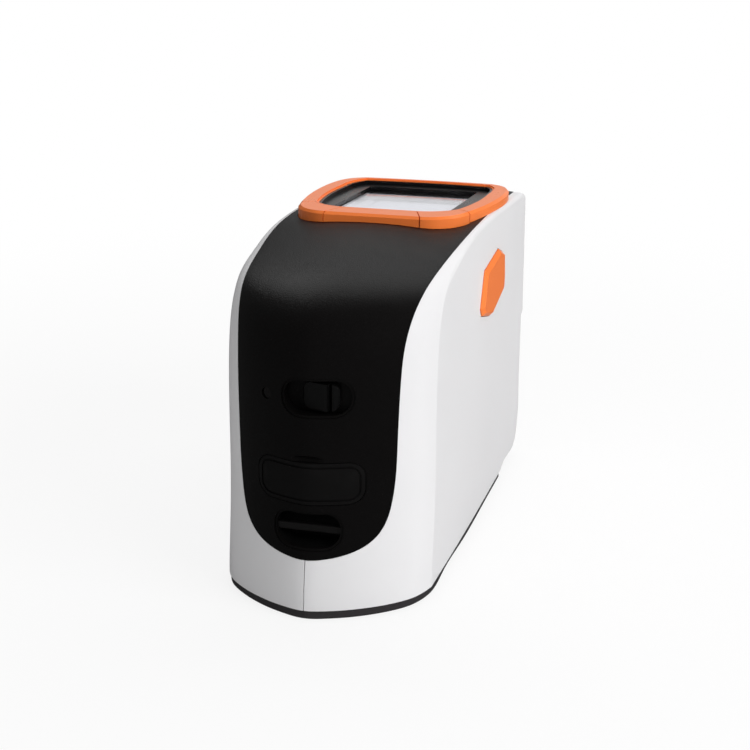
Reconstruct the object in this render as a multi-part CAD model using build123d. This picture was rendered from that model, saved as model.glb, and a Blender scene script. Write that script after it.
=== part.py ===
from build123d import *
import math
import os

# Portable spectrophotometer. Millimetres, +Z up, +Y away from the front nose, X across.
# The base stands on Z = 0 and the origin is at the bottom centre of the bounding box.

os.makedirs("parts", exist_ok=True)

# Overall sizes
LENGTH = 182.0
WIDTH = 73.0
HEIGHT = 112.0
BODY_HALF = 35.0
NOSE_Y = -LENGTH / 2
TAIL_Y = LENGTH / 2

# Wall sizes and clearances
COVER_T = 2.0
WALL_T = 2.4
LEDGE_T = 1.5
LEDGE_W = 3.0
SEAT_GAP = 0.05
SEAM_GAP = 0.24
PART_GAP = 0.15
KEY_GAP = 0.3

# Centre line of the front and top, from the base of the nose to the tail, as (Y, Z)
CENTRE_LINE = [
    (NOSE_Y, -8.0), (NOSE_Y, 3.0), (-90.4, 9.0), (-89.3, 16.0), (-88.3, 24.0), (-87.4, 33.0), (-87.0, 43.0),
    (-86.9, 54.0), (-86.7, 65.0), (-86.2, 73.0), (-85.5, 79.5), (-84.2, 85.6), (-81.5, 91.8), (-76.5, 97.4),
    (-68.0, 101.6), (-56.0, 104.8), (-40.0, 107.3), (-22.0, 108.8), (-5.0, 109.4), (12.0, 109.3),
    (30.0, 108.6), (50.0, 107.3), (70.0, 105.7), (95.0, 103.4),
]
SHOULDER_START = 10
CROWN_FULL = 16
TOP_START = 20
CROWN = 3.3

# How far the nose falls back from its tip, by distance from the middle
NOSE_FALL = [
    (-7.8, 2.0), (0.0, 0.0), (7.8, 2.0), (15.0, 5.3), (22.0, 9.8), (27.8, 14.9), (31.7, 19.8),
    (33.6, 24.6), (34.9, 29.6), (36.6, 36.5),
]

# Half width of the black front and top, by height
PANEL_EDGE = [
    (4.6, 19.5), (9.8, 20.3), (15.5, 22.1), (20.4, 25.7), (23.0, 30.4), (24.3, 36.1), (25.1, 43.0),
    (25.6, 55.0),
    (25.9, 66.0), (26.2, 75.0), (26.7, 84.0), (27.8, 92.0), (28.9, 97.0), (30.1, 101.0), (31.6, 104.4),
    (33.0, 107.0), (34.0, 111.0),
]
PANEL_BOTTOM_Z = 19.3
COVER_END_Y = 76.5

# Tail and underside, as (Y, Z)
SPLIT_Z = 3.0
BASE_END_Y = 44.0
TAIL_STEP_Z = 58.0
TAIL_LOW_Y = 79.0
TAIL_CORNER_R = 7.0

# Display set, in its own tilted frame: ring top plane is local Z = 0
RING_TILT = 3.42
RING_CENTRE_Y = 28.0
RING_FRONT_Y = -12.5
RING_FRAME = Location(
    (0, RING_CENTRE_Y, HEIGHT - math.tan(math.radians(RING_TILT)) * (RING_CENTRE_Y - RING_FRONT_Y)),
    (-RING_TILT, 0, 0),
)
RING_SIDE = [
    (30.2, -24.0), (32.4, -12.0), (33.6, 0.0), (34.1, 14.0), (33.4, 27.0), (30.4, 37.5), (24.0, 42.8),
]
RING_KEY_BEND = [(16.8, -40.4), (22.5, -38.4), (27.2, -33.2), (30.2, -24.0)]
RING_REAR_Y = 43.8
HOLE_SIDE = [(24.6, -19.5), (26.9, -4.0), (27.5, 8.0), (27.3, 22.0), (26.2, 33.0), (23.4, 38.8)]
HOLE_BEND = [(13.0, -27.8), (19.0, -26.0), (24.6, -19.5)]
HOLE_REAR_Y = 40.4
RING_SKIRT = 5.2
SKIRT_T = 1.3
KEY_SPLIT = 0.36
KEY_DEPTH = 1.2
GLASS_DEPTH = 3.3
GLASS_T = 1.2
GLASS_W = 46.0
GLASS_L = 59.4
GLASS_Y = 6.9
LCD_T = 2.6
KEY_SPOTS = {"centre": (0.0, -34.6), "right": (22.6, -31.2), "left": (-22.6, -31.2)}
BRACKET_POSTS = [(11.0, -37.6), (-11.0, -37.6), (18.0, 43.2), (-18.0, 43.2)]
BRACKET_TOP = -8.1
BRACKET_T = 0.8
KEY_BOARD_T = 1.0
TACT_H = 1.7

# Side measuring buttons, outline as (Y, Z)
BUTTON = [
    (1.0, 78.0), (3.0, 75.0), (16.4, 71.6), (36.4, 76.0), (37.6, 80.6), (36.6, 89.8), (29.6, 92.4), (6.6, 90.0),
]
BUTTON_FACE_X = WIDTH / 2
BUTTON_TRAVEL = 1.0

# Front face controls
LENS_X = -13.9
LENS_Z = 70.4
LENS_D = 3.4
SWITCH_X = 3.0
SWITCH_Z = 71.2
SWITCH_W = 21.0
SWITCH_H = 10.7
SWITCH_TRAVEL = 4.0
FLAP_W = 34.4
FLAP_H = 13.4
FLAP_Z = 43.8
FLAP_R = 4.8
FLAP_T = 1.5
STRAP_W = 20.6
STRAP_H = 10.9
STRAP_Z = 28.5
STRAP_WALL = 1.0
LIP_W = 0.9
FLAP_RIM = 1.1
FLAP_GROOVE = 0.6

# Measuring head
HEAD_Y = 12.0
SPHERE_Z = 27.5
SPHERE_R = 20.0
SPHERE_T = 2.5
APERTURE_D = 8.0
APERTURE_LIP = 1.0
RING_D = 30.0
TILT = 8.0

# Posts, boards and screws, as (X, Y) from below and (X, Z) from the front
POST_R = 1.8
SCREW_R = 0.9
BOARD_T = 1.6
BASE_SCREWS = [
    (26.0, -46.0), (-26.0, -46.0), (26.0, 32.0), (-26.0, 32.0),
    (20.0, -24.0), (-20.0, -24.0), (20.0, 37.6), (-20.0, 37.6),
]
CHASSIS_POSTS = BASE_SCREWS[4:]
FOOT_SPOTS = [(0.0, -78.0), (17.0, -60.0), (-17.0, -60.0), (12.5, 36.0), (-12.5, 36.0)]
DECK_Z = 58.0
DECK_T = 1.6
BOARD_Z = 86.0
SWITCH_POSTS = [(-18.4, 65.4), (-18.4, 76.8), (18.6, 65.4), (18.6, 76.8)]
PORT_POSTS = [(-15.4, 35.6), (15.4, 35.6), (-15.4, 53.4), (15.4, 53.4)]
SWITCH_FLOOR_Y = -80.4
SWITCH_BOARD_Y = -74.0
PORT_FLOOR_Y = -78.4
PORT_BOARD_Y = -66.0
FLOOR_T = 1.4
JACK_X = -8.6
DATA_X = 8.6
RESET_X = 0.6


def curve(points):
    """Smooth curve through the points, giving the second value for a first value."""
    count = len(points)
    slopes = []
    for a, b in zip(points, points[1:]):
        slopes.append((b[1] - a[1]) / (b[0] - a[0]))
    ends = [slopes[0]]
    for a, b in zip(slopes, slopes[1:]):
        ends.append(0.0 if a * b <= 0 else 2 * a * b / (a + b))
    ends.append(slopes[-1])

    def value(v):
        i = min(max(sum(1 for p in points if p[0] <= v) - 1, 0), count - 2)
        step = points[i + 1][0] - points[i][0]
        t = (v - points[i][0]) / step
        first = (2 * t**3 - 3 * t**2 + 1) * points[i][1] + (t**3 - 2 * t**2 + t) * step * ends[i]
        return first + (3 * t**2 - 2 * t**3) * points[i + 1][1] + (t**3 - t**2) * step * ends[i + 1]

    return value


def softened(line, width):
    """The same curve with its bends evened out over the width."""
    weights = [1, 8, 28, 56, 70, 56, 28, 8, 1]

    def value(v):
        return sum(w * line(v + width * (i - 4) / 8) for i, w in enumerate(weights)) / 256

    return value


def ease(a, b, v):
    """Smooth step from 0 at a to 1 at b."""
    t = min(max((v - a) / (b - a), 0.0), 1.0)
    return t**3 * (10 - 15 * t + 6 * t * t)


# Distance along the centre line at each of its points
along = [0.0]
for here, there in zip(CENTRE_LINE, CENTRE_LINE[1:]):
    along.append(along[-1] + math.dist(here, there))
line_y = softened(curve([(d, p[0]) for d, p in zip(along, CENTRE_LINE)]), 20.0)
line_z = softened(curve([(d, p[1]) for d, p in zip(along, CENTRE_LINE)]), 20.0)
nose_fall = softened(curve(NOSE_FALL), 9.0)


def skin_row(s):
    """Outer skin at s along the centre line, as a function of x across."""
    top = ease(along[SHOULDER_START], along[TOP_START], s)
    crown = CROWN * ease(along[SHOULDER_START], along[CROWN_FULL], s) * (1 - 0.2 * ease(0.0, along[-1], s))
    y, z = line_y(s), line_z(s)
    return lambda x: Vector(x, y + nose_fall(abs(x)) * (1 - top), z - crown * (x / BODY_HALF) ** 2)


def skin_solid(depth):
    """Everything that lies deeper than the given depth under the outer skin."""
    rows = []
    small = 0.1
    for j in range(46):
        s = along[-1] * j / 45
        here, ahead, behind = skin_row(s), skin_row(s + small), skin_row(s - small)
        row = []
        for i in range(25):
            x = -36.2 + 72.4 * i / 24
            across = here(x + small) - here(x - small)
            up = ahead(x) - behind(x)
            row.append(here(x) + up.cross(across).normalized() * depth)
        rows.append(row)
    return Solid.extrude(Face.make_surface_from_array_of_points(rows, tol=0.02), Vector(0, 200, -200))


def plan_block(inset, low, high):
    """Upright block with the body's side lines and rounded tail."""
    side = [(34.0, -105), (34.3, -60), (34.9, -20), (BODY_HALF, 20), (34.8, 70)]
    side = [(x - inset, y) for x, y in side]
    tail = (34.4 - inset, TAIL_Y - 1.6 - inset)
    edges = [
        Spline(*[(x, y) for x, y in side + [tail]]),
        ThreePointArc(tail, (0, TAIL_Y - inset), (-tail[0], tail[1])),
        Spline(*[(-x, y) for x, y in [tail] + side[::-1]]),
        Line((-side[0][0], side[0][1]), side[0]),
    ]
    face = make_face(edges)
    corners = [v for v in face.vertices() if v.Y > 0]
    face = fillet(corners, TAIL_CORNER_R - inset)
    return extrude(Location((0, 0, low)) * face, high - low)


def tail_block(inset, half):
    """Side view of the tail and underside, drawn across the body."""
    low = TAIL_LOW_Y - inset
    high = TAIL_Y - inset
    floor = SPLIT_Z if inset == 0 else SPLIT_Z - 12
    base_end = (BASE_END_Y - inset, SPLIT_Z + inset)
    bend = (low, 24)
    step_low = (low + 1.5, TAIL_STEP_Z - 4 + inset * 0.6)
    step_high = (high - 1.2, TAIL_STEP_Z + inset)
    crown = (high - 9.5, 101 - inset)
    roof = (high - 19.5, 106.4 - inset)
    edges = [
        Polyline((-120, 150), (-120, floor), (base_end[0], floor)),
        Spline(base_end, (60 - inset, 4.2 + inset), (low - 5, 6.2 + inset), (low - 1, 12.5), bend),
        Spline(bend, (low + 0.6, 40), step_low),
        Line(step_low, step_high),
        Spline(step_high, (high, TAIL_STEP_Z + 7), (high, 86), (high - 2.8, 94.2), crown),
        Line(crown, roof),
        Polyline(roof, (40, 150), (-120, 150)),
    ]
    if inset > 0:
        edges.append(Line((base_end[0], floor), base_end))
    face = make_face([Plane.YZ * e for e in edges])
    return extrude(face, half, both=True)


def shifted(points, amount, first, last):
    """Points moved to the right of their path by the amount, with given directions at both ends."""
    moved = []
    for i, (x, y) in enumerate(points):
        if i == 0:
            nx, ny = first
        elif i == len(points) - 1:
            nx, ny = last
        else:
            dx = points[i + 1][0] - points[i - 1][0]
            dy = points[i + 1][1] - points[i - 1][1]
            nx, ny = dy / math.hypot(dx, dy), -dx / math.hypot(dx, dy)
        moved.append((x + nx * amount, y + ny * amount))
    return moved


def flipped(points):
    """Points mirrored to the left side."""
    return [(-x, y) for x, y in points]


def panel_prism(grow, start, end):
    """Front view of the black panel, drawn along the body."""
    points = shifted([(0, PANEL_BOTTOM_Z)] + PANEL_EDGE, grow, (0, -1), (1, 0))
    top = points[-1]
    face = make_face([
        Spline(*points, tangents=[(1, 0), (0.3, 1)]),
        Spline(*flipped(points), tangents=[(-1, 0), (-0.3, 1)]),
        Polyline(top, (top[0], 130), (-top[0], 130), (-top[0], top[1])),
    ])
    face = Plane((0, start, 0), x_dir=(1, 0, 0), z_dir=(0, -1, 0)) * face
    return extrude(face, end - start, dir=(0, 1, 0))


def front_prism(sketch, x, z, start, end):
    """Sketch seen from the front, at x and z, drawn from one Y to another."""
    front = Plane((x, start, z), x_dir=(1, 0, 0), z_dir=(0, -1, 0))
    return extrude(front * sketch, end - start, dir=(0, 1, 0))


def box_between(x0, x1, y0, y1, z0, z1):
    """Block between two corners."""
    return Location(((x0 + x1) / 2, (y0 + y1) / 2, (z0 + z1) / 2)) * Box(x1 - x0, y1 - y0, z1 - z0)


def post(x, y, z0, z1, radius):
    """Upright round post."""
    return Location((x, y, (z0 + z1) / 2)) * Cylinder(radius, z1 - z0)


def front_post(x, z, y0, y1, radius):
    """Round post along Y."""
    return front_prism(Circle(radius), x, z, y0, y1)


def half_outline(bend, side, rear_y, grow=0.0):
    """Closed outline, alike left and right, from a front edge, a bend, a side and a rear arc."""
    joint = shifted([bend[-2], bend[-1], side[1]], 1.0, (0, 0), (0, 0))[1]
    outward = (joint[0] - bend[-1][0], joint[1] - bend[-1][1])
    bend = shifted(bend, grow, (0.25, -1.0), outward)
    side = shifted(side, grow, outward, (0.5, 0.9))
    end = side[-1]
    return make_face([
        Line((-bend[0][0], bend[0][1]), bend[0]),
        Spline(*bend),
        Spline(*side),
        ThreePointArc(end, (0, rear_y + grow), (-end[0], end[1])),
        Spline(*flipped(side)),
        Spline(*flipped(bend)),
    ])


def ring_outline(grow=0.0):
    """Outer outline of the display ring."""
    return half_outline(RING_KEY_BEND, RING_SIDE, RING_REAR_Y, grow)


def hole_outline(grow=0.0):
    """Inner outline of the display ring."""
    return half_outline(HOLE_BEND, HOLE_SIDE, HOLE_REAR_Y, grow)


def in_ring(face, low, high):
    """Prism of a face drawn in the ring's frame, between two local heights."""
    return RING_FRAME * (Location((0, 0, high)) * extrude(face, high - low, dir=(0, 0, -1)))


def key_zone(side):
    """Plan of the centre key (0) or the right (1) or left (-1) key, before the gaps."""
    split = [(11.6, -25.0), (17.6, -43.0)]
    if side == 0:
        mirrored = [(-x, y) for x, y in split[::-1]]
        return Polygon(*split, *mirrored, align=None)
    points = [split[0], split[1], (40.0, -40.0), (33.0, -26.2), (23.4, -18.6), (17.0, -22.0)]
    points = [(side * x, y) for x, y in points]
    return Polygon(*points, align=None)


SEAT = round(COVER_T + SEAT_GAP, 3)
LEDGE = round(SEAT + LEDGE_T, 3)
FLAP_SEAT = round(FLAP_T + PART_GAP, 3)
LIP_DEPTH = 0.4
skin = {}
for depth in (0.0, LIP_DEPTH, KEY_DEPTH, FLAP_T, FLAP_SEAT, COVER_T, SEAT, WALL_T, LEDGE):
    skin[depth] = skin_solid(depth)


def body_form():
    """Outer form of the closed body."""
    form = skin[0.0] & plan_block(0, SPLIT_Z, 140) & tail_block(0, 60)
    rims = [e for e in form.edges() if e.length > 200]
    return fillet(rims, 1.6)


def layer(depth):
    """Everything under the given depth, tail included."""
    return skin[depth] & plan_block(depth, SPLIT_Z - 12, 140) & tail_block(depth, 60)


def flap_outline(grow):
    """Front view of the port flap."""
    return RectangleRounded(FLAP_W + 2 * grow, FLAP_H + 2 * grow, FLAP_R + grow)


def strap_outline(grow):
    """Front view of the strap slot."""
    return RectangleRounded(STRAP_W + 2 * grow, STRAP_H + 2 * grow, STRAP_H / 2 - 0.6 + grow)


def switch_outline(grow):
    """Front view of the power switch recess."""
    return RectangleRounded(SWITCH_W + 2 * grow, SWITCH_H + 2 * grow, SWITCH_H / 2 - 0.2 + grow)


def front_cover(form):
    """Black front and top in one moulding, with every opening and its cups and posts."""
    cover = (form & panel_prism(0, -120, COVER_END_Y)) - skin[COVER_T]
    under = skin[KEY_DEPTH] & panel_prism(-3.2, -120, COVER_END_Y - 3)
    cup = front_prism(switch_outline(FLOOR_T), SWITCH_X, SWITCH_Z, -95, SWITCH_FLOOR_Y + FLOOR_T)
    well = front_prism(Rectangle(31.8, 11.6), 0, FLAP_Z, -95, PORT_FLOOR_Y + FLOOR_T)
    cover += (cup + well) & under
    for x, z in SWITCH_POSTS:
        cover += front_post(x, z, -95, SWITCH_BOARD_Y, POST_R) & under
    for x, z in PORT_POSTS:
        cover += front_post(x, z, -95, PORT_BOARD_Y, POST_R) & under
    for x, y in BRACKET_POSTS:
        cover += (RING_FRAME * post(x, y, BRACKET_TOP, 2, POST_R)) & skin[FLAP_T]
    cover -= in_ring(hole_outline(SKIRT_T + 0.1), -14, 5)
    for side in (-1, 0, 1):
        cover -= in_ring(offset(key_zone(side), 0.1) & ring_outline(0.25), -14, 5) - skin[KEY_DEPTH]
    for x, y in KEY_SPOTS.values():
        cover -= RING_FRAME * post(x, y, -14, 5, 2.3)
    for x, z in SWITCH_POSTS:
        cover -= front_post(x, z, SWITCH_BOARD_Y - 3, SWITCH_BOARD_Y + 1, SCREW_R)
    for x, z in PORT_POSTS:
        cover -= front_post(x, z, PORT_BOARD_Y - 5, PORT_BOARD_Y + 1, SCREW_R)
    for x, y in BRACKET_POSTS:
        cover -= RING_FRAME * post(x, y, BRACKET_TOP - 1, BRACKET_TOP + 3.2, SCREW_R)
    cover -= front_prism(Circle(LENS_D / 2 + 0.1), LENS_X, LENS_Z, -95, -70)
    cover -= front_prism(switch_outline(0), SWITCH_X, SWITCH_Z, -95, SWITCH_FLOOR_Y)
    cover -= front_prism(Rectangle(4.0 + SWITCH_TRAVEL + 0.8, 3.6), SWITCH_X - 1.0, SWITCH_Z, -95, -70)
    cover -= front_prism(flap_outline(0.25), 0, FLAP_Z, -95, -60) - skin[FLAP_SEAT]
    cover -= front_prism(RectangleRounded(29.0, 8.8, 2.0), 0, FLAP_Z, -95, PORT_FLOOR_Y)
    cover -= front_prism(Circle(3.4), JACK_X, FLAP_Z, -95, -70)
    cover -= front_prism(RectangleRounded(8.6, 3.8, 0.8), DATA_X, FLAP_Z, -95, -70)
    cover -= front_prism(Circle(1.0), RESET_X, FLAP_Z, -95, -70)
    cover -= Location((1.5, -87.3, FLAP_Z + FLAP_H / 2 + 0.9)) * scale(Sphere(1.0), by=(9.5, 1.9, 1.7))
    cover -= front_prism(strap_outline(0), 0, STRAP_Z, -95, -60)
    cover -= front_prism(strap_outline(LIP_W), 0, STRAP_Z, -95, -60) - skin[LIP_DEPTH]
    cover -= front_prism(switch_outline(LIP_W), SWITCH_X, SWITCH_Z, -95, -60) - skin[LIP_DEPTH]
    return cover


def rear_region(grow):
    """Front view of the rear panel, cut from the same outline as the cover."""
    gap = 0.15 if grow == 0 else 0.15 - grow
    low = TAIL_STEP_Z + 4.0 - grow
    return panel_prism(grow, COVER_END_Y + gap, 100) & box_between(-40, 40, 40, 110, low, 130)


def rear_panel(form):
    """Black panel over the top and tail edge, behind the display."""
    panel = (form & rear_region(0)) - layer(COVER_T)
    return panel


def casing_halves(form):
    """White shell split down the middle, with seats for the black panels and the inner bosses."""
    shell = form - layer(WALL_T)
    shell -= panel_prism(0.1, -120, COVER_END_Y + 0.1) - skin[SEAT]
    shell -= rear_region(0.1) - layer(SEAT)
    around = panel_prism(2.0, -120, COVER_END_Y) - panel_prism(-LEDGE_W + 0.8, -125, COVER_END_Y - 3)
    front_ledge = (layer(SEAT) - skin[LEDGE]) & around
    rear_ledge = (layer(SEAT) - layer(LEDGE)) & (rear_region(2.0) - rear_region(-LEDGE_W))
    bridge = (layer(SEAT) - skin[LEDGE]) & panel_prism(0, COVER_END_Y - LEDGE_W, COVER_END_Y + LEDGE_W)
    shell -= panel_prism(-LEDGE_W + 0.8, -120, COVER_END_Y - LEDGE_W)
    shell -= rear_region(-LEDGE_W)
    shell += front_ledge
    shell += rear_ledge
    shell += bridge
    inside = layer(KEY_DEPTH)
    for side in (-1, 1):
        for y in (-46.0, 32.0):
            shell += post(side * 26.0, y, SPLIT_Z, 16, 3.0)
            rib = box_between(*sorted((side * 26, side * 34)), y - 0.8, y + 0.8, SPLIT_Z + 4, 16)
            shell += rib & inside
            shell -= post(side * 26.0, y, SPLIT_Z - 1, 12, SCREW_R)
        hole = offset(Polygon(*BUTTON, align=None), KEY_GAP)
        plane = Plane((0, 0, 0), x_dir=(0, side, 0), z_dir=(side, 0, 0))
        shell -= plane * extrude(Location((0, 0, 20)) * button_face(hole, side), 30, dir=(0, 0, 1))
    left = shell & box_between(-60, -SEAM_GAP / 2, -120, 120, -5, 150)
    right = shell & box_between(SEAM_GAP / 2, 60, -120, 120, -5, 150)
    return left, right


def button_face(face, side):
    """Side view outline as seen from the right (1) or, mirrored, from the left (-1)."""
    return face if side > 0 else mirror(face, about=Plane.YZ)


def side_button(side):
    """Six-sided measuring button with a bevelled face and a flange behind the wall."""
    plan = Polygon(*BUTTON, align=None)
    inner = BODY_HALF - WALL_T
    plane = Plane((0, 0, 0), x_dir=(0, side, 0), z_dir=(side, 0, 0))
    body = extrude(Location((0, 0, inner - 1.6)) * plan, BUTTON_FACE_X - inner + 1.6)
    body = chamfer(body.faces().sort_by(Axis.Z)[-1].edges(), 1.3)
    flange = extrude(Location((0, 0, inner - 1.6)) * offset(plan, 1.2), 1.2)
    stem = extrude(Location((18.0, 82.0, inner - 3.4)) * Circle(2.6), 2.4)
    whole = body + flange + stem
    if side < 0:
        whole = mirror(whole, about=Plane.YZ)
    return plane * whole


def base_outline(inset):
    """Plan of the base, drawn in by the inset from the body's lower edge."""
    stop = 33.5 - inset
    nose = []
    for i in range(9):
        x = stop * math.sin(math.radians(90 * i / 8))
        nose.append((x, NOSE_Y + nose_fall(x * 33.5 / stop) + inset))
    side = [nose[-1], (34.3 - inset, -45.0), (34.8 - inset, -20.0), (34.9 - inset, 10.0)]
    side.append((34.8 - inset, BASE_END_Y - PART_GAP))
    end = side[-1]
    return make_face([
        Spline(*nose, tangents=[(1, 0), (0.3, 1)]),
        Spline(*side, tangents=[(0.3, 1), (0, 1)]),
        Line(end, (-end[0], end[1])),
        Spline(*flipped(side), tangents=[(-0.3, 1), (0, 1)]),
        Spline(*flipped(nose), tangents=[(-1, 0), (-0.3, 1)]),
    ])


def base_plate():
    """Black floor with the measuring opening, a locating lip and screw holes."""
    plate = extrude(base_outline(0.4), SPLIT_Z - 0.05)
    plate = chamfer(plate.faces().sort_by(Axis.Z)[0].edges(), 0.6)
    lip = base_outline(WALL_T + 0.6) - base_outline(WALL_T + 2.0)
    lip = extrude(Location((0, 0, SPLIT_Z - 0.1)) * lip, 2.6)
    lip &= box_between(-40, 40, -100, BASE_END_Y - 4, 0, 10)
    plate += lip - box_between(-40, 40, -50.5, -41.5, 0, 10) - box_between(-40, 40, 27.5, 36.5, 0, 10)
    plate -= post(0, HEAD_Y, -1, 10, RING_D / 2 + 0.1)
    collar = post(0, HEAD_Y, SPLIT_Z - 0.05, SPLIT_Z + 2.2, RING_D / 2 + 3.5)
    plate += collar - post(0, HEAD_Y, 0, 10, RING_D / 2 + 0.1)
    for x, y in BASE_SCREWS:
        plate -= post(x, y, -1, 10, SCREW_R)
        plate -= post(x, y, -1, 1.6, 1.9)
    for x, y in FOOT_SPOTS:
        plate -= post(x, y, -1, 0.6, 4.0)
    return plate


def foot_pads():
    """Soft pads set into the underside."""
    pads = Part()
    for x, y in FOOT_SPOTS:
        pads += post(x, y, 0.0, 0.6, 3.9)
    return pads


def aperture_ring():
    """Removable ring with the measuring opening, flush under the base."""
    ring = post(0, HEAD_Y, 0.2, SPLIT_Z + 1.0, RING_D / 2)
    ring -= Location((0, HEAD_Y, 0.2 + APERTURE_LIP + 1.6)) * Cone(APERTURE_D / 2, APERTURE_D / 2 + 3.0, 3.2)
    ring -= post(0, HEAD_Y, -1, 5, APERTURE_D / 2)
    for i in range(2):
        turn = Location((0, HEAD_Y, 0), (0, 0, 180 * i))
        ring -= turn * Location((11.4, 0, 0)) * Box(3.0, 6.5, 2.4)
    return ring


def sphere_half(upper):
    """One half of the integrating sphere, with its flange and ports."""
    outer = Location((0, HEAD_Y, SPHERE_Z)) * Sphere(SPHERE_R + SPHERE_T)
    flange = post(0, HEAD_Y, SPHERE_Z - 2.0, SPHERE_Z + 2.0, SPHERE_R + 5.5)
    tube = Location((0, HEAD_Y, SPHERE_Z), (-TILT, 0, 0)) * Location((0, 0, 23.0)) * Cylinder(5.5, 5.0)
    lamp = Location((0, HEAD_Y - 22.5, SPHERE_Z + 9), (90, 0, 0)) * Cylinder(6.5, 7.0)
    seat = post(0, HEAD_Y, SPLIT_Z + 1.1, SPLIT_Z + 5.0, 11.0)
    shell = outer + flange + tube + lamp + seat
    shell -= Location((0, HEAD_Y, SPHERE_Z)) * Sphere(SPHERE_R)
    shell -= Location((0, HEAD_Y, SPHERE_Z), (-TILT, 0, 0)) * Location((0, 0, 22.0)) * Cylinder(3.6, 14.0)
    shell -= Location((0, HEAD_Y - 22.5, SPHERE_Z + 9), (90, 0, 0)) * Cylinder(4.5, 12.0)
    shell -= post(0, HEAD_Y, 0, SPLIT_Z + 8.0, 6.0)
    if upper:
        return shell & box_between(-40, 40, -60, 80, SPHERE_Z, 80)
    return shell & box_between(-40, 40, -60, 80, 0, SPHERE_Z)


def sphere_window():
    """Clear disc that closes the sphere's lower port."""
    return post(0, HEAD_Y, SPLIT_Z + 2.6, SPLIT_Z + 3.8, 6.0)


def lamp_holder():
    """Lamp cup with cooling fins on the side of the sphere."""
    face_y = HEAD_Y - 26.0
    cup = Location((0, face_y - 3.5, SPHERE_Z + 9), (90, 0, 0)) * Cylinder(9.0, 7.0)
    for i in range(3):
        groove = Cylinder(10.0, 0.9) - Cylinder(7.2, 0.9)
        cup -= Location((0, face_y - 2.4 - 1.9 * i, SPHERE_Z + 9), (90, 0, 0)) * groove
    cup -= Location((0, face_y - 1.0, SPHERE_Z + 9), (90, 0, 0)) * Cylinder(4.5, 6.0)
    return cup


def viewing_tube():
    """Tube that looks into the sphere at eight degrees and carries the light up to the spectrometer."""
    frame = Location((0, HEAD_Y, SPHERE_Z), (-TILT, 0, 0))
    tube = frame * Location((0, 0, 30.5)) * Cylinder(5.5, 10.0)
    tube -= frame * Location((0, 0, 30.5)) * Cylinder(3.0, 12.0)
    return tube & box_between(-20, 20, -20, 60, 0, DECK_Z + DECK_T)


def spectrometer_box():
    """Closed optical box with ribs and a slanted grating corner."""
    plan = Polygon((-20, -6), (20, -6), (20, 34), (8, 50), (-12, 50), (-20, 40), align=None)
    low = DECK_Z + DECK_T
    box = extrude(Location((0, 0, low)) * plan, 19.0)
    box = chamfer(box.faces().sort_by(Axis.Z)[-1].edges(), 1.0)
    for y in (4.0, 16.0, 28.0):
        box += box_between(-20.8, -20.0, y, y + 1.6, low, low + 18)
        box += box_between(20.0, 20.8, y, y + 1.6, low, low + 18)
    return box


def spectrometer_lid():
    """Thin cover plate of the optical box."""
    plan = Polygon((-18, -4), (18, -4), (18, 33), (7, 48), (-11, 48), (-18, 39), align=None)
    low = DECK_Z + DECK_T + 19.0
    return extrude(Location((0, 0, low)) * offset(plan, -0.4), 1.2)


def chassis():
    """Inner frame: four posts, a deck, side wings for the button boards and posts for the main board."""
    frame = box_between(-25.5, 25.5, -28.0, 60.0, DECK_Z, DECK_Z + DECK_T)
    frame -= post(0, HEAD_Y + 4.2, DECK_Z - 1, DECK_Z + 3, 7.0)
    for x, y in CHASSIS_POSTS:
        frame += post(x, y, SPLIT_Z - 0.05, DECK_Z, 3.2)
        frame -= post(x, y, 0, 12, SCREW_R)
    for x in (-22.5, 22.5):
        for y in (-25.0, 57.0):
            frame += post(x, y, DECK_Z, BOARD_Z, 2.4)
            frame -= post(x, y, BOARD_Z - 4, BOARD_Z + 1, SCREW_R)
    for side in (-1, 1):
        wing = box_between(*sorted((side * 24.3, side * 25.5)), 6.0, 30.0, DECK_Z, 90.0)
        wing -= box_between(*sorted((side * 20, side * 30)), 10.0, 26.0, DECK_Z + 4, DECK_Z + 12)
        frame += wing
    return frame


def main_board():
    """Main circuit board with its larger parts."""
    board = box_between(-23.6, 23.6, -28.0, 60.0, BOARD_Z, BOARD_Z + BOARD_T)
    for x in (-22.5, 22.5):
        for y in (-25.0, 57.0):
            board -= post(x, y, BOARD_Z - 1, BOARD_Z + 5, SCREW_R)
    top = BOARD_Z + BOARD_T
    board += box_between(-8, 8, 0, 16, top, top + 1.4)
    board += box_between(-18, -11, -14, -2, top, top + 3.0)
    board += box_between(11, 19, -16, -4, top, top + 2.0)
    board += box_between(-9, 9, 53.5, 57.5, top, top + 2.0)
    board += box_between(12, 20, 24, 30, top, top + 2.4)
    return board


def switch_board(side):
    """Small board with the push switch behind a side button."""
    x0, x1 = sorted((side * 25.5, side * 26.9))
    board = box_between(x0, x1, 9.0, 28.0, 74.0, 90.0)
    x0, x1 = sorted((side * 26.9, side * (BODY_HALF - WALL_T - 3.4 - BUTTON_TRAVEL - 0.2)))
    board += box_between(x0, x1, 15.0, 21.0, 79.0, 85.0)
    return board


def battery_pack():
    """Flat battery pack with wrapped ends."""
    pack = box_between(-17.0, 17.0, -75.6, -29.0, SPLIT_Z + 1.4, SPLIT_Z + 12.4)
    return fillet(pack.edges().filter_by(Axis.Y), 3.0)


def battery_cradle():
    """Tray that holds the battery pack on the base."""
    tray = box_between(-18.6, 18.6, -77.2, -27.4, SPLIT_Z - 0.05, SPLIT_Z + 5.0)
    tray -= box_between(-17.05, 17.05, -75.65, -28.95, SPLIT_Z + 1.4, SPLIT_Z + 20)
    tray = tray & layer_base
    for x in (-18.6, 17.05):
        tray += box_between(x, x + 1.55, -58.0, -50.0, SPLIT_Z, SPLIT_Z + 14.0)
    for x in (-18.6, 16.0):
        tray += box_between(x, x + 2.6, -58.0, -50.0, SPLIT_Z + 12.4, SPLIT_Z + 14.0)
    return tray


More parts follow.
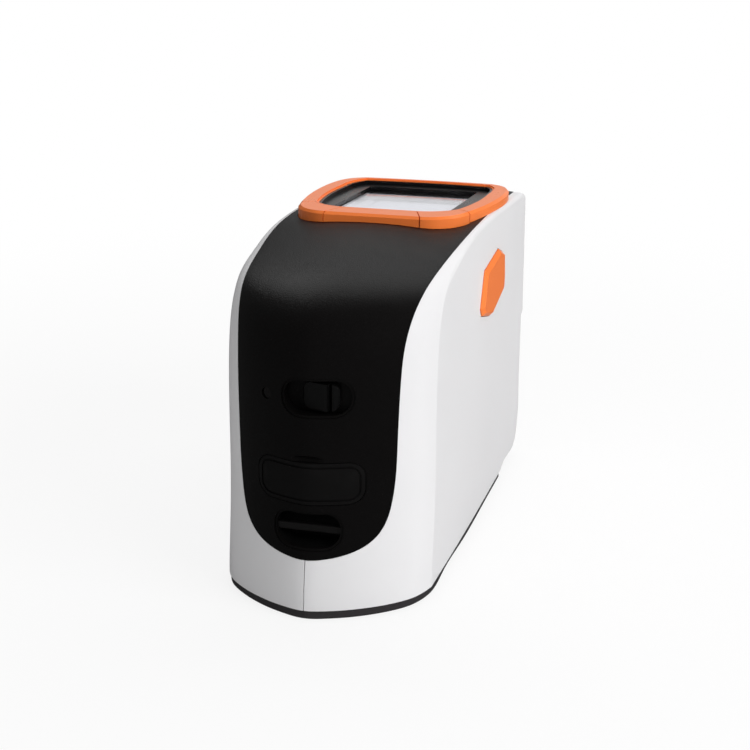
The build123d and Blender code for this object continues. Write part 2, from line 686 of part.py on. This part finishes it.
def display_ring():
    """Orange surround with a skirt down into the cover, open at the front for the keys."""
    rim = in_ring(ring_outline(), -12, 0)
    rim = chamfer(top_edges(rim), 0.9)
    rim -= skin[0.0]
    skirt = in_ring(hole_outline(SKIRT_T), -RING_SKIRT, -0.5)
    hole = in_ring(hole_outline(), -14, 5)
    whole = rim + skirt - hole
    band = in_ring(ring_outline(), -14, 5) - in_ring(hole_outline(SKIRT_T), -15, 6)
    for side in (-1, 0, 1):
        whole -= band & in_ring(offset(key_zone(side), KEY_SPLIT / 2), -14, 5)
    lead = in_ring(hole_outline(0.7), -14, 5) & in_ring(Rectangle(100, 100), -0.45, 5)
    return whole - lead


def top_edges(solid):
    """Edges of the face that lies in the ring's top plane."""
    tops = [f for f in solid.faces() if abs(f.normal_at().Z - math.cos(math.radians(RING_TILT))) < 1e-3]
    tops.sort(key=lambda f: f.center().Z)
    return tops[-1].edges()


def key(side):
    """Orange key in the front of the ring, with its push stem."""
    rim = in_ring(ring_outline(), -12, 0)
    rim = chamfer(top_edges(rim), 0.9)
    cap = rim - in_ring(hole_outline(SKIRT_T + 0.15), -14, 5)
    cap = cap & in_ring(offset(key_zone(side), -KEY_SPLIT / 2), -14, 5)
    cap -= skin[LIP_DEPTH]
    spot = KEY_SPOTS[{-1: "left", 0: "centre", 1: "right"}[side]]
    stem = RING_FRAME * post(spot[0], spot[1], BRACKET_TOP + KEY_BOARD_T + TACT_H + 0.75, -1.5, 1.7)
    return cap + stem


def display_bezel():
    """Black inner frame with sloping walls down to the window."""
    frame = in_ring(hole_outline(-0.08), -GLASS_DEPTH - GLASS_T - LCD_T, -0.7)
    frame -= in_ring(hole_outline(-0.9), 1.2 - GLASS_DEPTH, 1)
    frame -= in_ring(Location((0, GLASS_Y)) * RectangleRounded(GLASS_W - 5, GLASS_L - 5, 2.0), -14, 2)
    frame -= in_ring(Location((0, GLASS_Y)) * RectangleRounded(GLASS_W, GLASS_L, 4.0), -14, -GLASS_DEPTH)
    return frame


def display_window():
    """Clear window over the display."""
    pane = Location((0, GLASS_Y)) * RectangleRounded(GLASS_W - 0.1, GLASS_L - 0.1, 3.95)
    return in_ring(pane, -GLASS_DEPTH - GLASS_T, -GLASS_DEPTH)


def display_panel():
    """Display panel under the window."""
    low = -GLASS_DEPTH - GLASS_T - LCD_T
    return in_ring(Location((0, GLASS_Y)) * Rectangle(GLASS_W - 3, GLASS_L - 3), low, -GLASS_DEPTH - GLASS_T)


def bumper_foam():
    """Foam frame between the display panel and its bracket."""
    low = -GLASS_DEPTH - GLASS_T - LCD_T
    pad = Rectangle(GLASS_W - 4, GLASS_L - 4) - Rectangle(GLASS_W - 16, GLASS_L - 16)
    return in_ring(Location((0, GLASS_Y)) * pad, BRACKET_TOP, low)


def display_bracket():
    """Metal plate that holds the display set and the key board up to the cover."""
    plate = Location((0, 2.4)) * RectangleRounded(54.0, 85.4, 3.0)
    plate -= Location((0, 6.0)) * RectangleRounded(30.0, 44.0, 3.0)
    plate = in_ring(plate, BRACKET_TOP - BRACKET_T, BRACKET_TOP)
    for x, y in BRACKET_POSTS:
        plate -= RING_FRAME * post(x, y, -14, 5, SCREW_R)
    return plate


def key_board():
    """Board under the keys with three push domes."""
    plate = Location((0, -34.6)) * Rectangle(53.0, 10.6)
    for x, y in BRACKET_POSTS[:2]:
        plate -= Location((x, y)) * Circle(POST_R + 0.3)
    board = in_ring(plate, BRACKET_TOP, BRACKET_TOP + KEY_BOARD_T)
    for x, y in KEY_SPOTS.values():
        floor = BRACKET_TOP + KEY_BOARD_T
        board += RING_FRAME * post(x, y, floor, floor + TACT_H - 0.5, 2.9)
        board += RING_FRAME * post(x, y, BRACKET_TOP + KEY_BOARD_T, BRACKET_TOP + KEY_BOARD_T + TACT_H, 1.4)
    return board


def flat_cable():
    """Flat cable from the display panel down to the main board."""
    path = Spline((53.4, 100.75), (54.8, 97.2), (56.4, 93.2), (55.5, 89.7), tangents=[(0.1, -1), (-0.2, -1)])
    strip = trace(path, 0.35)
    return extrude(Plane((0, 0, 0), x_dir=(0, 1, 0), z_dir=(1, 0, 0)) * strip, 7.5, both=True)


def power_switch():
    """Slide knob with two finger ridges and a stem through the floor."""
    back = SWITCH_FLOOR_Y - 0.15
    ridges = [(6.6, 1.2), (5.4, 2.9), (4.6, 2.9), (3.9, 1.5), (3.2, 3.7), (2.6, 3.7)]
    side_view = Polygon((-4.6, 0), (6.6, 0), *ridges, (-4.6, 1.6), align=None)
    level = Plane((SWITCH_X, back, SWITCH_Z), x_dir=(1, 0, 0), z_dir=(0, 0, 1))
    knob = extrude(level * mirror(side_view, about=Plane.XZ), 4.3, both=True)
    knob = knob & front_prism(RectangleRounded(11.2, 8.6, 2.4), SWITCH_X + 1.0, SWITCH_Z, -95, -70)
    middle = SWITCH_X + 0.8
    stem = box_between(middle - 1.6, middle + 1.6, back - 0.1, -78.3, SWITCH_Z - 1.5, SWITCH_Z + 1.5)
    return knob + stem


def slide_switch():
    """Board with the slide switch body and the status lamp."""
    board = front_prism(Rectangle(41.0, 14.6), 0.1, 71.1, SWITCH_BOARD_Y, SWITCH_BOARD_Y + 1.4)
    for x, z in SWITCH_POSTS:
        board -= front_post(x, z, -80, -70, SCREW_R)
    board += box_between(-4.5, 9.5, -78.0, SWITCH_BOARD_Y, SWITCH_Z - 3.2, SWITCH_Z + 3.2)
    board += box_between(LENS_X - 1.6, LENS_X + 1.6, -75.4, SWITCH_BOARD_Y, LENS_Z - 1.6, LENS_Z + 1.6)
    return board


def status_lens():
    """Light guide for the status lamp."""
    guide = front_post(LENS_X, LENS_Z, -90, -75.4, LENS_D / 2) & skin[LIP_DEPTH]
    collar = front_post(LENS_X, LENS_Z, -77.2, -76.4, LENS_D / 2 + 0.9)
    return guide + collar


def port_flap():
    """Rubber flap over the sockets, shaped to the nose, with a rim plug inside."""
    flap = front_prism(flap_outline(0), 0, FLAP_Z, -95, -60) - skin[FLAP_T]
    flap = flap & skin[0.0]
    groove = flap_outline(-FLAP_RIM) - flap_outline(-FLAP_RIM - FLAP_GROOVE)
    flap -= front_prism(groove, 0, FLAP_Z, -95, -60) - skin[LIP_DEPTH]
    plug = RectangleRounded(26.0, 5.2, 1.6) - RectangleRounded(23.0, 2.6, 0.8)
    flap += (front_prism(plug, 0, FLAP_Z - 0.4, -95, -80.6) & skin[LIP_DEPTH])
    return flap


def connector_board():
    """Board that carries the power jack and the data socket."""
    board = front_prism(Rectangle(35.4, 22.4), 0, FLAP_Z, PORT_BOARD_Y, PORT_BOARD_Y + 1.4)
    for x, z in PORT_POSTS:
        board -= front_post(x, z, -80, -60, SCREW_R)
    return board


def power_jack():
    """Round power jack."""
    face_y = PORT_FLOOR_Y + FLOOR_T + 0.1
    jack = box_between(JACK_X - 4.4, JACK_X + 4.4, face_y, PORT_BOARD_Y, FLAP_Z - 4.4, FLAP_Z + 4.4)
    jack += front_post(JACK_X, FLAP_Z, PORT_FLOOR_Y - 0.4, PORT_FLOOR_Y + FLOOR_T + 0.2, 3.2)
    jack -= front_post(JACK_X, FLAP_Z, -85, PORT_FLOOR_Y + 8.0, 2.75)
    jack += front_post(JACK_X, FLAP_Z, PORT_FLOOR_Y + 0.6, PORT_FLOOR_Y + 8.5, 0.85)
    return jack


def data_socket():
    """Small data socket with a steel shell and a tongue."""
    shell = front_prism(RectangleRounded(8.2, 3.4, 0.7), DATA_X, FLAP_Z, PORT_FLOOR_Y - 0.2, PORT_BOARD_Y)
    shell -= front_prism(RectangleRounded(7.4, 2.6, 0.5), DATA_X, FLAP_Z, PORT_FLOOR_Y - 1, PORT_FLOOR_Y + 6)
    shell += front_prism(Rectangle(5.0, 0.9), DATA_X, FLAP_Z, PORT_FLOOR_Y + 0.8, PORT_FLOOR_Y + 6.5)
    return shell


def reset_push():
    """Small push pin between the sockets."""
    pin = front_post(RESET_X, FLAP_Z, PORT_FLOOR_Y + 0.3, -68.8, 0.8)
    return pin + front_post(RESET_X, FLAP_Z, -76.6, -75.4, 1.6)


def reset_switch():
    """Push switch body behind the reset pin."""
    return box_between(RESET_X - 2.0, RESET_X + 2.0, -68.0, PORT_BOARD_Y, FLAP_Z - 2.0, FLAP_Z + 2.0)


def strap_cup():
    """Blind cup behind the strap slot."""
    cup = front_prism(strap_outline(STRAP_WALL), 0, STRAP_Z, -95, -75.6)
    cup -= front_prism(strap_outline(0), 0, STRAP_Z, -95, -77.0)
    return cup & skin[SEAT]


def strap_bar():
    """Bar across the slot that a wrist strap loops round."""
    bar = box_between(-STRAP_W / 2, STRAP_W / 2, -83.4, -81.6, STRAP_Z - 1.8, STRAP_Z + 0.7)
    bar = fillet(bar.edges().filter_by(Axis.X), 0.5)
    return bar & front_prism(strap_outline(-0.02), 0, STRAP_Z, -95, -60)


def screws(spots, low, head_r, head_t, length, frame=None):
    """Set of equal screws, heads down."""
    group = Part()
    for x, y in spots:
        one = post(x, y, low, low + head_t, head_r) + post(x, y, low + head_t, low + length, SCREW_R)
        group += (frame * one) if frame else one
    return group


form = body_form()
layer_base = layer(WALL_T) & box_between(-60, 60, -120, 120, -5, 150)
left_casing, right_casing = casing_halves(form)
nodes = {
    "base_plate": base_plate(),
    "left_casing": left_casing,
    "right_casing": right_casing,
    "front_cover": front_cover(form),
    "rear_panel": rear_panel(form),
    "foot_pads": foot_pads(),
    "aperture_ring": aperture_ring(),
    "sphere_lower": sphere_half(False),
    "sphere_upper": sphere_half(True),
    "sphere_window": sphere_window(),
    "lamp_holder": lamp_holder(),
    "viewing_tube": viewing_tube(),
    "spectrometer_box": spectrometer_box(),
    "spectrometer_lid": spectrometer_lid(),
    "chassis": chassis(),
    "main_board": main_board(),
    "left_switch_board": switch_board(-1),
    "right_switch_board": switch_board(1),
    "battery_pack": battery_pack(),
    "battery_cradle": battery_cradle(),
    "display_ring": display_ring(),
    "key_left": key(-1),
    "key_centre": key(0),
    "key_right": key(1),
    "display_bezel": display_bezel(),
    "display_window": display_window(),
    "display_panel": display_panel(),
    "bumper_foam": bumper_foam(),
    "display_bracket": display_bracket(),
    "key_board": key_board(),
    "flat_cable": flat_cable(),
    "left_button": side_button(-1),
    "right_button": side_button(1),
    "power_switch": power_switch(),
    "slide_switch_board": slide_switch(),
    "status_lens": status_lens(),
    "port_flap": port_flap(),
    "connector_board": connector_board(),
    "power_jack": power_jack(),
    "data_socket": data_socket(),
    "reset_push": reset_push(),
    "reset_switch": reset_switch(),
    "strap_cup": strap_cup(),
    "strap_bar": strap_bar(),
    "base_screws": screws(BASE_SCREWS, 0.3, 1.7, 1.3, 11.0),
    "bracket_screws": screws(BRACKET_POSTS, BRACKET_TOP - BRACKET_T - 1.0, 1.7, 1.0, 4.6, RING_FRAME),
}
for name, shape in nodes.items():
    shape.label = name
    export_step(shape, "parts/" + name + ".step")
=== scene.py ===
import math

import bpy
import numpy as np
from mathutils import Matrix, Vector

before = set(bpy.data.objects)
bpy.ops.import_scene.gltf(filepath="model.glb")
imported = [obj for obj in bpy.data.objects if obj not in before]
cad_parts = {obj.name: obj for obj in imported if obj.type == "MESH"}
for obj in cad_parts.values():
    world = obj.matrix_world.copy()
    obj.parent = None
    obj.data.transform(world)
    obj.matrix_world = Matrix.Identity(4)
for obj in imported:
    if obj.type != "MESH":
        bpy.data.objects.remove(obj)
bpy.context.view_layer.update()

# Base: a black moulded floor that closes the underside, screwed up into the casing.
# It carries five soft pads, and a ring with the measuring opening that lifts out to be cleaned.


class Wire:
    """A shader socket that can stand in an arithmetic expression."""

    def __init__(self, tree, socket):
        self.tree = tree
        self.socket = socket

    def maths(self, operation, *inputs):
        node = self.tree.nodes.new("ShaderNodeMath")
        node.operation = operation
        for slot, value in zip(node.inputs, inputs):
            plug(self.tree, slot, value)
        return Wire(self.tree, node.outputs[0])

    def __add__(self, other):
        return self.maths("ADD", self, other)

    def __radd__(self, other):
        return self.maths("ADD", other, self)

    def __sub__(self, other):
        return self.maths("SUBTRACT", self, other)

    def __rsub__(self, other):
        return self.maths("SUBTRACT", other, self)

    def __mul__(self, other):
        return self.maths("MULTIPLY", self, other)

    def __rmul__(self, other):
        return self.maths("MULTIPLY", other, self)

    def __truediv__(self, other):
        return self.maths("DIVIDE", self, other)

    def step(self, low, high):
        """0 below low, 1 above high, smooth between them."""
        node = self.tree.nodes.new("ShaderNodeMapRange")
        node.interpolation_type = "SMOOTHSTEP"
        for slot, value in zip(node.inputs, (self, low, high, 0.0, 1.0)):
            plug(self.tree, slot, value)
        return Wire(self.tree, node.outputs[0])


def plug(tree, slot, value):
    """Links a wire to a socket, or writes a plain value on it."""
    if isinstance(value, Wire):
        tree.links.new(value.socket, slot)
    elif hasattr(slot.default_value, "__len__") and len(slot.default_value) == 4 and len(value) == 3:
        slot.default_value = (*value, 1.0)
    else:
        slot.default_value = value


class Finish:
    """One material and the nodes that it is made of."""

    def __init__(self, name, **fixed):
        self.material = bpy.data.materials.new(name)
        self.material.use_nodes = True
        self.tree = self.material.node_tree
        self.shader = self.tree.nodes["Principled BSDF"]
        self.set(**fixed)

    def set(self, **sockets):
        for name, value in sockets.items():
            plug(self.tree, self.shader.inputs[name.replace("_", " ").title().replace("Ior", "IOR")], value)

    def node(self, kind, settings=None, output=0, **sockets):
        made = self.tree.nodes.new("ShaderNode" + kind)
        for name, value in (settings or {}).items():
            if name == "stops":
                ramp = made.color_ramp
                for element, (place, colour) in zip([ramp.elements[0], ramp.elements[1]], (value[0], value[-1])):
                    element.position, element.color = place, (*colour, 1.0)
                for place, colour in value[1:-1]:
                    ramp.elements.new(place).color = (*colour, 1.0)
            else:
                setattr(made, name, value)
        for name, value in sockets.items():
            plug(self.tree, made.inputs[name.replace("_", " ")], value)
        return Wire(self.tree, made.outputs[output])

    def place(self):
        """Object coordinates, the same on the whole instrument."""
        return self.node("TexCoord", output=3)

    def axis(self, letter):
        """One of the object coordinates, in metres."""
        return self.node("SeparateXYZ", output="XYZ".index(letter), Vector=self.place())

    def noise(self, scale, detail=2.0, roughness=0.5, stretch=(1, 1, 1)):
        """Noise between 0 and 1, with the given number of patches in a metre."""
        where = self.node("Mapping", {}, Vector=self.place(), Scale=stretch)
        return self.node("TexNoise", {}, 0, Vector=where, Scale=scale, Detail=detail, Roughness=roughness)

    def blend(self, mask, low, high):
        """Colour that runs from low to high as the mask goes from 0 to 1."""
        mixed = self.tree.nodes.new("ShaderNodeMix")
        mixed.data_type = "RGBA"
        for index, value in ((0, mask), (6, low), (7, high)):
            plug(self.tree, mixed.inputs[index], value)
        return Wire(self.tree, mixed.outputs[2])

    def relief(self, height, depth, under=None):
        """Bump of the given depth in metres, over another bump when there is one."""
        bump = self.tree.nodes.new("ShaderNodeBump")
        plug(self.tree, bump.inputs["Height"], height)
        bump.inputs["Strength"].default_value = 1.0
        bump.inputs["Distance"].default_value = depth
        if under:
            self.tree.links.new(under.socket, bump.inputs["Normal"])
        return Wire(self.tree, bump.outputs[0])

    def on(self, *names):
        """Puts the material on CAD nodes or new pieces."""
        for name in names:
            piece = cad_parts.get(name) or bpy.data.objects[name]
            piece.data.materials.clear()
            piece.data.materials.append(self.material)


def moulded(name, colour, roughness, grain=0.00002, gloss=0.5):
    """Moulded plastic: a fine eroded grain, slow shifts of tone and a few polished patches."""
    finish = Finish(name, specular_ior_level=gloss)
    slow = finish.noise(9.0, 3.0)
    fine = finish.noise(2600.0, 1.0)
    handled = finish.noise(38.0, 4.0).step(0.5, 0.72)
    darker = tuple(c * 0.93 for c in colour)
    lighter = tuple(min(c * 1.05, 1.0) for c in colour)
    finish.set(base_color=finish.blend(slow, darker, lighter))
    finish.set(roughness=roughness + fine * 0.08 - handled * 0.05 - 0.04)
    finish.set(normal=finish.relief(fine, grain))
    return finish


moulded("base_black", (0.035, 0.032, 0.034), 0.52, 0.00002, 0.25).on("base_plate")


def rubber(name, colour):
    """Soft rubber: dull, with a dusty bloom in the grain."""
    finish = Finish(name, specular_ior_level=0.2)
    fine = finish.noise(3400.0, 2.0)
    bloom = finish.noise(60.0, 4.0).step(0.45, 0.8)
    dusty = tuple(c * 1.5 + 0.0008 for c in colour)
    finish.set(base_color=finish.blend(bloom, colour, dusty))
    finish.set(roughness=0.62 + fine * 0.16)
    finish.set(normal=finish.relief(fine, 0.000025))
    return finish


rubber("foot_rubber", (0.018, 0.018, 0.018)).on("foot_pads")
moulded("ring_black", (0.014, 0.014, 0.015), 0.36).on("aperture_ring")


def turned_steel(name, scale=900.0):
    """Screw steel: fine turning marks that stretch across, and small dull spots."""
    finish = Finish(name, metallic=1.0)
    marks = finish.noise(scale, 2.0, 0.6, (1, 1, 0.06))
    spots = finish.noise(300.0, 3.0).step(0.55, 0.7)
    finish.set(base_color=finish.blend(spots, (0.62, 0.61, 0.59), (0.44, 0.43, 0.42)))
    finish.set(roughness=0.24 + marks * 0.2 + spots * 0.15)
    finish.set(normal=finish.relief(marks, 0.000008))
    return finish


turned_steel("screw_steel").on("base_screws")

# Battery: a wrapped flat pack that lies in a moulded tray on the base.
# Two sprung arms of the tray hold it down.

wrap = Finish("battery_wrap", coat_weight=0.5, coat_roughness=0.12)
band = wrap.axis("Y").step(-0.0700, -0.0698) - wrap.axis("Y").step(-0.0362, -0.0360)
wrinkle = wrap.noise(240.0, 3.0, 0.5, (1, 0.2, 1))
wrap.set(base_color=wrap.blend(band, (0.02, 0.02, 0.022), (0.02, 0.10, 0.26)))
wrap.set(roughness=0.3 + wrinkle * 0.15)
wrap.set(normal=wrap.relief(wrinkle, 0.00006))
wrap.on("battery_pack")
moulded("tray_grey", (0.16, 0.16, 0.165), 0.5).on("battery_cradle")

# Optics: two halves of a white sphere that mix the light, with a clear port window, a finned lamp cup,
# a viewing tube and the black anodised box that holds the grating.

white_coat = Finish("sphere_white")
grit = white_coat.noise(4200.0, 2.0)
patch = white_coat.noise(40.0, 3.0)
white_coat.set(base_color=white_coat.blend(patch, (0.80, 0.80, 0.785), (0.87, 0.87, 0.86)))
white_coat.set(roughness=0.78 + grit * 0.15)
white_coat.set(normal=white_coat.relief(grit, 0.00002))
white_coat.on("sphere_lower", "sphere_upper")


def clear(name, tint, index=1.47):
    """Clear moulded plastic with faint wipe marks."""
    finish = Finish(name, transmission_weight=1.0, ior=index)
    wiped = finish.noise(70.0, 4.0, 0.6, (1, 0.3, 1))
    finish.set(base_color=finish.blend(wiped, tint, tuple(c * 0.985 for c in tint)))
    finish.set(roughness=0.01 + wiped.step(0.55, 0.9) * 0.03)
    return finish


clear("port_glass", (0.96, 0.98, 0.97)).on("sphere_window")


def anodised(name, colour):
    """Blasted and dyed aluminium with a fine tooth."""
    finish = Finish(name, metallic=1.0)
    tooth = finish.noise(5200.0, 2.0)
    shift = finish.noise(24.0, 2.0)
    finish.set(base_color=finish.blend(shift, colour, tuple(c * 1.25 for c in colour)))
    finish.set(roughness=0.38 + tooth * 0.2)
    finish.set(normal=finish.relief(tooth, 0.000012))
    return finish


anodised("lamp_alloy", (0.55, 0.56, 0.57)).on("lamp_holder", "viewing_tube")
anodised("optics_black", (0.05, 0.05, 0.055)).on("spectrometer_box", "spectrometer_lid")

# Frame and boards: a grey moulded chassis stands on the base and carries the main board,
# the two button boards and the optics. The boards are green with black parts on them.

moulded("frame_grey", (0.10, 0.105, 0.11), 0.55).on("chassis")


def circuit_board(name, part_axis, board_low, board_high):
    """Green board between two heights on an axis, with fine traces, and black parts beyond it."""
    finish = Finish(name, coat_weight=0.35, coat_roughness=0.18)
    along = finish.axis(part_axis)
    parts = 1 - (along.step(board_low - 0.00003, board_low) - along.step(board_high, board_high + 0.00003))
    cells = finish.node("TexVoronoi", {"distance": "MANHATTAN", "feature": "DISTANCE_TO_EDGE"},
                        Vector=finish.place(), Scale=420.0)
    traces = 1 - cells.step(0.06, 0.1)
    lane = finish.noise(900.0, 1.0)
    green = finish.blend(traces, (0.008, 0.085, 0.04), (0.02, 0.16, 0.07))
    black = finish.blend(lane, (0.012, 0.012, 0.013), (0.022, 0.022, 0.023))
    finish.set(base_color=finish.blend(parts, green, black))
    finish.set(roughness=0.34 + parts * 0.2 + lane * 0.06)
    finish.set(normal=finish.relief(traces * (1 - parts), 0.00003))
    return finish


circuit_board("main_board_green", "Z", 0.0859, 0.08762).on("main_board")
circuit_board("left_board_green", "X", -0.02695, -0.0254).on("left_switch_board")
circuit_board("right_board_green", "X", 0.0254, 0.02695).on("right_switch_board")

# Casing: two white halves that meet in a fine seam down the middle of the nose, the back and the tail.
# They are moulded with a soft sheen and screwed to the base from below.

moulded("shell_white", (0.80, 0.795, 0.805), 0.42, 0.000012, 0.35).on("left_casing", "right_casing")

# Cover: one black moulding from the nose over the top, set flush between the white halves,
# and the black panel behind the display that turns down over the tail.

moulded("cover_black", (0.0034, 0.003, 0.003), 0.42, 0.00008, 0.16).on("front_cover", "rear_panel")

# Side buttons: six-sided orange keys with a bevelled face, one each side, that push a switch inside.

orange = moulded("ring_orange", (1.0, 0.225, 0.045), 0.3, 0.000012, 0.3)
orange.on("left_button", "right_button")

# Power switch: a black slide knob with two finger ridges in its recess, and a small light guide beside it.

moulded("knob_black", (0.003, 0.003, 0.003), 0.34, 0.00001, 0.3).on("power_switch")
smoke = Finish("lens_smoke", specular_ior_level=0.3)
cloud = smoke.noise(500.0, 2.0)
smoke.set(base_color=smoke.blend(cloud, (0.002, 0.0015, 0.0015), (0.004, 0.003, 0.003)))
smoke.set(roughness=0.12 + cloud * 0.1)
smoke.on("status_lens")
circuit_board("switch_board_green", "Y", -0.07405, -0.0726).on("slide_switch_board")

# Ports: a rubber flap over a well with the power jack, the data socket and a reset pin,
# all on one small board behind the nose.

rubber("flap_rubber", (0.0045, 0.0042, 0.0042)).on("port_flap")
moulded("jack_black", (0.012, 0.012, 0.012), 0.4).on("power_jack", "reset_push", "reset_switch")
turned_steel("socket_steel", 500.0).on("data_socket")
circuit_board("port_board_green", "Y", -0.06605, -0.0646).on("connector_board")

# Strap slot: a blind cup in the nose with a bar that a wrist strap loops round.

moulded("cup_black", (0.004, 0.004, 0.004), 0.42, 0.00002, 0.15).on("strap_cup")
moulded("bar_black", (0.008, 0.0075, 0.0075), 0.3, 0.00002, 0.2).on("strap_bar")

# Display: an orange ring with three keys in its front, a black inner frame, a clear window
# and the panel under it, held up to the cover by a steel bracket with a foam pad.

orange.on("display_ring", "key_left", "key_centre", "key_right")
moulded("bezel_black", (0.006, 0.006, 0.0065), 0.3, 0.00002, 0.3).on("display_bezel")
clear("window_clear", (0.97, 0.975, 0.98), 1.2).on("display_window")
panel = Finish("screen_panel", emission_strength=0.68)
dots = panel.node("TexVoronoi", {"feature": "F1"}, Vector=panel.place(), Scale=3800.0)
across = panel.axis("X")
along = panel.axis("Y")
lit = (across.step(-0.0202, -0.0200) - across.step(0.0200, 0.0202)) * (1 - along.step(0.0535, 0.0537))
tone = panel.noise(14.0, 2.0)
light = panel.blend(tone, (0.66, 0.67, 0.72), (0.76, 0.77, 0.80))
panel.set(base_color=panel.blend(lit, (0.004, 0.004, 0.005), (0.3, 0.3, 0.32)))
panel.set(emission_color=panel.blend(lit, (0.0, 0.0, 0.0), light))
panel.set(roughness=0.3 + dots * 0.1)
panel.on("display_panel")
foam = Finish("foam_grey")
pores = foam.node("TexVoronoi", {"feature": "F1"}, Vector=foam.place(), Scale=1400.0)
foam.set(base_color=foam.blend(pores, (0.02, 0.02, 0.02), (0.06, 0.06, 0.06)))
foam.set(roughness=0.85 + pores * 0.1)
foam.set(normal=foam.relief(pores, 0.0003))
foam.on("bumper_foam")
turned_steel("bracket_steel", 260.0).on("display_bracket", "bracket_screws")
circuit_board("key_board_green", "Z", 0.05, 0.1072).on("key_board")
cable = Finish("flat_cable_film", coat_weight=0.4, coat_roughness=0.1)
stripes = cable.node("TexWave", {"bands_direction": "X"}, Vector=cable.place(), Scale=320.0)
cable.set(base_color=cable.blend(stripes.step(0.4, 0.6), (0.5, 0.22, 0.04), (0.3, 0.12, 0.02)))
cable.set(roughness=0.3 + stripes * 0.1)
cable.on("flat_cable")

# Studio: a pale floor with soft lamps and a camera at the angle of the photograph.
# The floor shows white to the camera and still takes the instrument's soft shadow.

span = 6.0
corners = [(-span, -span, 0), (span, -span, 0), (span, span, 0), (-span, span, 0)]
floor_mesh = bpy.data.meshes.new("floor")
floor_mesh.from_pydata(corners, [], [(0, 1, 2, 3)])
floor = bpy.data.objects.new("floor", floor_mesh)
bpy.context.collection.objects.link(floor)
pale = Finish("floor_pale")
paper = pale.noise(30.0, 3.0)
away = pale.node("VectorMath", {"operation": "LENGTH"}, 1, Vector=pale.place())
pale.set(base_color=pale.blend(paper, (0.88, 0.88, 0.88), (0.9, 0.9, 0.9)), roughness=0.7)
glow = pale.node("Emission", {}, 0, Color=(1.0, 1.0, 1.0), Strength=1.0)
seen = pale.node("LightPath", {}, 0)
seen = seen.maths("MAXIMUM", seen, pale.node("LightPath", {}, 3))
share = seen * (0.84 + away.step(0.14, 0.5) * 0.16)
mixed = pale.tree.nodes.new("ShaderNodeMixShader")
plug(pale.tree, mixed.inputs[0], share)
pale.tree.links.new(pale.shader.outputs[0], mixed.inputs[1])
pale.tree.links.new(glow.socket, mixed.inputs[2])
pale.tree.links.new(mixed.outputs[0], pale.tree.nodes["Material Output"].inputs["Surface"])
pale.on("floor")
floor.visible_glossy = False

world = bpy.data.worlds.new("studio")
bpy.context.scene.world = world
world.use_nodes = True
sky = world.node_tree
rays = sky.nodes.new("ShaderNodeLightPath")
seen = Wire(sky, rays.outputs["Is Camera Ray"])
seen = seen.maths("MAXIMUM", seen, Wire(sky, rays.outputs["Is Transmission Ray"]))
plug(sky, sky.nodes["Background"].inputs["Color"], (1.0, 1.0, 1.0))
plug(sky, sky.nodes["Background"].inputs["Strength"], seen * 0.89 + 0.11)


def lamp(name, place, aim, width, height, power, mirrored):
    """A soft lamp that looks from its place at a point. A lamp that isn't mirrored gives no highlight."""
    light = bpy.data.lights.new(name, "AREA")
    light.shape = "RECTANGLE"
    light.size = width
    light.size_y = height
    light.energy = power
    stand = bpy.data.objects.new(name, light)
    stand.location = place
    stand.rotation_euler = (Vector(aim) - Vector(place)).to_track_quat("-Z", "Y").to_euler()
    stand.visible_camera = False
    stand.visible_glossy = mirrored
    bpy.context.collection.objects.link(stand)


lamp("key_lamp", (1.05, -0.42, 0.6), (0, 0, 0.05), 0.8, 0.8, 10.6, False)
lamp("top_lamp", (0.1, 0.0, 1.2), (0, -0.02, 0.05), 1.5, 1.5, 5.5, False)
lamp("front_lamp", (0.0, -1.2, 0.45), (0, 0, 0.05), 0.8, 0.8, 1.7, False)
lamp("sheen_lamp", (-0.05, 0.65, 0.95), (0, -0.06, 0.1), 1.8, 0.6, 6.0, True)
lamp("back_card", (-0.1, 1.3, 0.25), (0, 0, 0.1), 0.8, 0.8, 1.0, True)

lens = bpy.data.cameras.new("camera")
camera = bpy.data.objects.new("camera", lens)
camera.location = (0.1506, -0.5521, 0.2382)
camera.rotation_euler = (math.radians(90 - 18.05), 0, math.radians(15.45))
lens.lens = 82.32
lens.clip_start = 0.01
bpy.context.collection.objects.link(camera)
bpy.context.scene.camera = camera
bpy.context.scene.view_settings.view_transform = "Standard"
